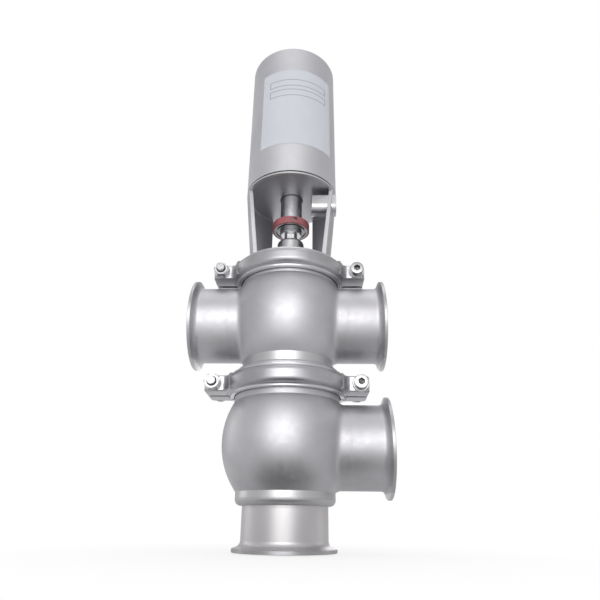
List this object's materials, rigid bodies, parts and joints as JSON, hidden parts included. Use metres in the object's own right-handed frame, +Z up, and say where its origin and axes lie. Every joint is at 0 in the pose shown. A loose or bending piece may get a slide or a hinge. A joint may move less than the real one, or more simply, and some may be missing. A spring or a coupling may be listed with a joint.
{
  "type": "divert seat valve",
  "caption": "Pneumatic divert seat valve for sanitary tube: two stacked ball-shaped chambers with clamp ports, an open yoke with stem indicator and a cylindrical spring-return actuator.",
  "frame": {"origin": "on the stem axis, in the face of the bottom port", "axes": "+Z up along the stem towards the actuator, +X towards the side port of the lower chamber, -Y to the front, where the yoke is open"},
  "size_m": [0.1888, 0.12, 0.5474],
  "materials": {
    "satin_steel": "bead-blasted satin stainless steel",
    "clamp_steel": "blasted casting with polished lug faces",
    "yoke_steel": "satin casting",
    "actuator_steel": "fine satin stainless tube",
    "bright_steel": "ground and polished stainless steel",
    "fastener_steel": "bright stainless fasteners",
    "spring_steel": "drawn spring wire",
    "piston_aluminium": "turned aluminium",
    "seal_rubber": "moulded rubber",
    "bearing_plastic": "machined bearing plastic",
    "indicator_red": "moulded red plastic",
    "label_film": "bare pale label film"
  },
  "bodies": {
    "housing": {"lower_body": "satin_steel", "bottom_ferrule": "satin_steel", "lower_side_ferrule": "satin_steel", "upper_body": "satin_steel", "upper_left_ferrule": "satin_steel", "upper_right_ferrule": "satin_steel", "bonnet": "satin_steel", "mid_seat_ring": "satin_steel", "lower_clamp_front": "clamp_steel", "lower_clamp_rear": "clamp_steel", "upper_clamp_front": "clamp_steel", "upper_clamp_rear": "clamp_steel", "yoke": "yoke_steel", "actuator_tube": "actuator_steel", "actuator_cap": "actuator_steel", "actuator_base": "actuator_steel", "air_port_bush": "actuator_steel", "sensor_boss": "bright_steel", "lower_clamp_bolts": "fastener_steel", "lower_clamp_nuts": "fastener_steel", "lower_clamp_washers": "fastener_steel", "upper_clamp_bolts": "fastener_steel", "upper_clamp_nuts": "fastener_steel", "upper_clamp_washers": "fastener_steel", "base_screws": "fastener_steel", "cap_retaining_ring": "fastener_steel", "spring_seat": "fastener_steel", "return_spring": "spring_steel", "lower_joint_gasket": "seal_rubber", "upper_joint_gasket": "seal_rubber", "bonnet_gasket": "seal_rubber", "stem_seal": "seal_rubber", "stem_wiper": "seal_rubber", "base_o_ring": "seal_rubber", "cap_o_ring": "seal_rubber", "rod_seal": "seal_rubber", "stem_bush": "bearing_plastic", "rod_bush": "bearing_plastic"},
    "stem": {"valve_stem": "bright_steel", "lower_plug": "bright_steel", "lower_plug_seal": "seal_rubber", "upper_plug": "bright_steel", "upper_plug_seal": "seal_rubber", "plug_spacer": "bright_steel", "plug_washer": "fastener_steel", "plug_nut": "fastener_steel", "piston_rod": "bright_steel", "piston": "piston_aluminium", "piston_seal": "seal_rubber", "piston_wear_ring": "bearing_plastic", "piston_washer": "fastener_steel", "piston_nut": "fastener_steel", "indicator_disc": "bright_steel", "indicator_ring": "indicator_red"}
  },
  "joints": [
    {"name": "stem_lift", "type": "slide", "parent": "housing", "child": "stem", "axis": [0, 0, 1], "range_m": [0, 0.024], "stiffness_N_per_m": 15000, "springref_m": -0.02, "deforming": ["return_spring"]}
  ]
}
